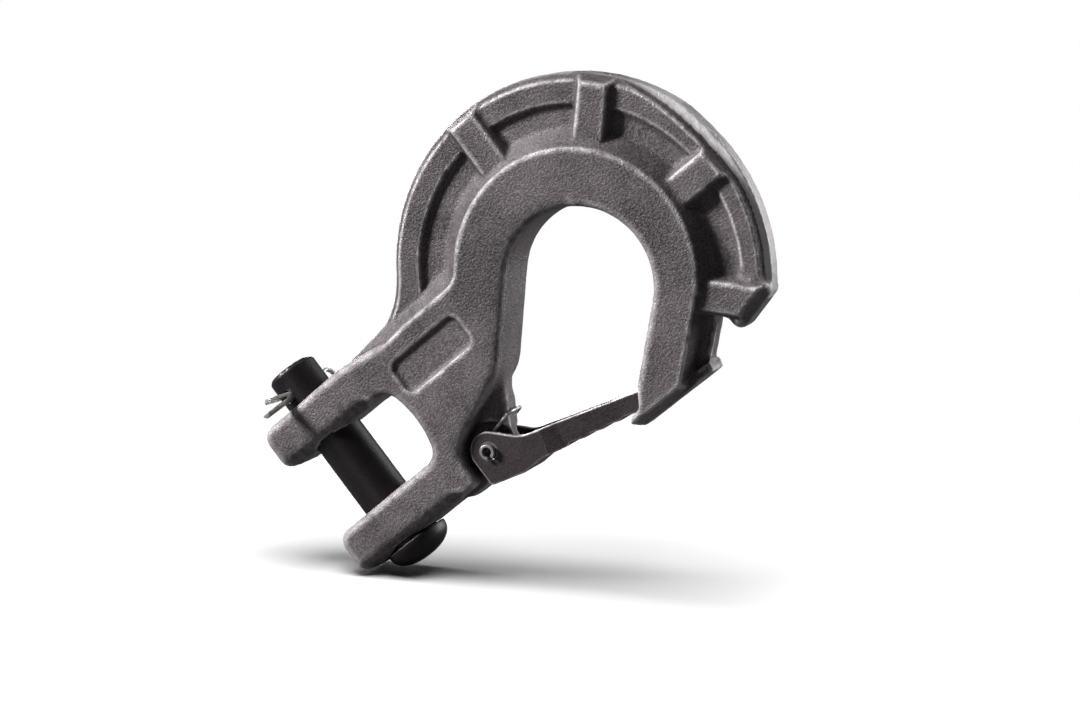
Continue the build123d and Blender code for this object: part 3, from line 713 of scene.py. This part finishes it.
# %% [markdown]
# ## The latch spring
# One length of round wire makes the whole spring: a leg under the latch's arm, a coil round the pin on one
# side of the web, a bridge over the web's edge, and the same again on the other side. So its line is worked
# out from the coil's sizes, and Geometry Nodes run a round section along it. A tube drawn by hand would lose
# the even turns. The wire is made as one fixed piece.

# %% Work out the wire's line
pivot_mm = Vector((40.6, -21.0, 0.0))
wire_mm, wire_sides = 1.2, 16
coil_r_mm, coil_z_mm, bridge_z_mm, whole_turns = 3.18, 2.988, 4.7, 2
leg_end_mm = Vector((53.574, -30.382, 0.0))
bridge_r_mm, bridge_turn = 13.304, 24.2
bend_mm, bend_steps = 1.5, 5
coil_step = 12.0


def round_pivot(radius, turn_at, z):
    """A point about the latch's pivot."""
    way = math.radians(turn_at)
    return pivot_mm + Vector((radius * math.cos(way), radius * math.sin(way), z))


leg = leg_end_mm - pivot_mm
coil_start = math.degrees(math.atan2(leg.y, leg.x) - math.acos(coil_r_mm / leg.length))
coil_end = bridge_turn + math.degrees(math.acos(coil_r_mm / bridge_r_mm)) - 360 * whole_turns
coil_count = round((coil_start - coil_end) / coil_step)
corner = round_pivot(bridge_r_mm, bridge_turn, bridge_z_mm)
to_coil = (round_pivot(coil_r_mm, coil_end, bridge_z_mm) - corner).normalized()
half_wire = [leg_end_mm + Vector((0, 0, coil_z_mm))]
for step in range(coil_count + 1):
    share = step / coil_count
    half_wire.append(round_pivot(coil_r_mm, coil_start + (coil_end - coil_start) * share,
                                 coil_z_mm + (bridge_z_mm - coil_z_mm) * share))
for step in range(bend_steps + 1):
    angle = math.pi / 2 * step / bend_steps
    drop = Vector((0, 0, bend_mm * (1 - math.cos(angle))))
    half_wire.append(corner + to_coil * bend_mm * (1 - math.sin(angle)) - drop)
wire_line = half_wire + [Vector((spot.x, spot.y, -spot.z)) for spot in reversed(half_wire)]
length_mm = sum((b - a).length for a, b in zip(wire_line, wire_line[1:]))
print("spring wire is", round(length_mm, 1), "mm long, in", len(wire_line), "points")

# %% Geometry Nodes: a round wire along a line
wire_tree = bpy.data.node_groups.new("round_wire", "GeometryNodeTree")
for label, kind, side in (("Line", "NodeSocketGeometry", "INPUT"),
                          ("Wire Radius", "NodeSocketFloat", "INPUT"),
                          ("Sides", "NodeSocketInt", "INPUT"),
                          ("Finish", "NodeSocketMaterial", "INPUT"),
                          ("Wire", "NodeSocketGeometry", "OUTPUT")):
    wire_tree.interface.new_socket(label, in_out=side, socket_type=kind)
ins = wire_tree.nodes.new("NodeGroupInput")
outs = wire_tree.nodes.new("NodeGroupOutput")
to_curve = wire_tree.nodes.new("GeometryNodeMeshToCurve")
section = wire_tree.nodes.new("GeometryNodeCurvePrimitiveCircle")
to_mesh = wire_tree.nodes.new("GeometryNodeCurveToMesh")
to_mesh.inputs["Fill Caps"].default_value = True
shade = wire_tree.nodes.new("GeometryNodeSetShadeSmooth")
real = wire_tree.nodes.new("GeometryNodeRealizeInstances")
paint = wire_tree.nodes.new("GeometryNodeSetMaterial")
for start, end in ((ins.outputs["Line"], to_curve.inputs["Mesh"]),
                   (ins.outputs["Wire Radius"], section.inputs["Radius"]),
                   (ins.outputs["Sides"], section.inputs["Resolution"]),
                   (to_curve.outputs[0], to_mesh.inputs["Curve"]),
                   (section.outputs[0], to_mesh.inputs["Profile Curve"]),
                   (to_mesh.outputs[0], shade.inputs["Geometry"]),
                   (shade.outputs[0], real.inputs["Geometry"]),
                   (real.outputs[0], paint.inputs["Geometry"]),
                   (ins.outputs["Finish"], paint.inputs["Material"]),
                   (paint.outputs[0], outs.inputs["Wire"])):
    wire_tree.links.new(start, end)

# %% Make the spring
line_mesh = bpy.data.meshes.new("latch_spring_line")
line_edges = [(i, i + 1) for i in range(len(wire_line) - 1)]
line_mesh.from_pydata([spot / 1000 for spot in wire_line], line_edges, [])
spring = bpy.data.objects.new("latch_spring_wire", line_mesh)
bpy.context.scene.collection.objects.link(spring)
bend_wire = spring.modifiers.new("round_wire", "NODES")
bend_wire.node_group = wire_tree
sockets = {item.name: item.identifier for item in wire_tree.interface.items_tree if item.in_out == "INPUT"}
bend_wire[sockets["Wire Radius"]] = wire_mm / 2000
bend_wire[sockets["Sides"]] = wire_sides
bend_wire[sockets["Finish"]] = spring_steel
depsgraph = bpy.context.evaluated_depsgraph_get()
spring_mesh = bpy.data.meshes.new_from_object(spring.evaluated_get(depsgraph))
spring.modifiers.clear()
spring.data = spring_mesh
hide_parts("latch_spring")
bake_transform(spring)
print("latch_spring_wire has", len(spring_mesh.polygons), "faces")
